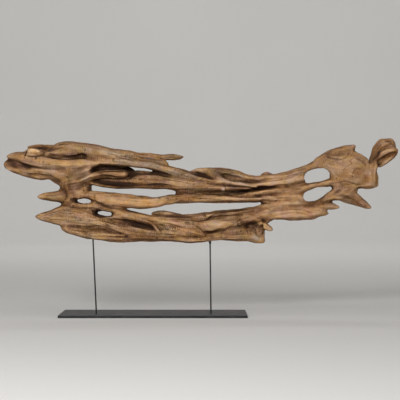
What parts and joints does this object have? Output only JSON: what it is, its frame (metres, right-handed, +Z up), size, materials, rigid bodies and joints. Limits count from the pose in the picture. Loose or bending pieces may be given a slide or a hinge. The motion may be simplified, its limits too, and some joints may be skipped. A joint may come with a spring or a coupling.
{
  "type": "driftwood sculpture",
  "caption": "Weathered driftwood sculpture, like a long dragon fish with slots, prongs and eye-shaped openings, standing on thin steel rods in a flat black base.",
  "frame": {"origin": "centre of the base's underside", "axes": "+X along the wood towards its tail, +Y away from the pictured side, +Z up"},
  "size_m": [1.5784, 0.24, 0.7107],
  "materials": {
    "weathered_wood": "weathered, dry, with darker crevices",
    "dark_steel": "dark satin",
    "black_steel": "black, fine satin powder coat"
  },
  "bodies": {
    "root": {"driftwood": "weathered_wood", "left_rod": "dark_steel", "right_rod": "dark_steel", "stand_base": "black_steel"}
  },
  "joints": []
}
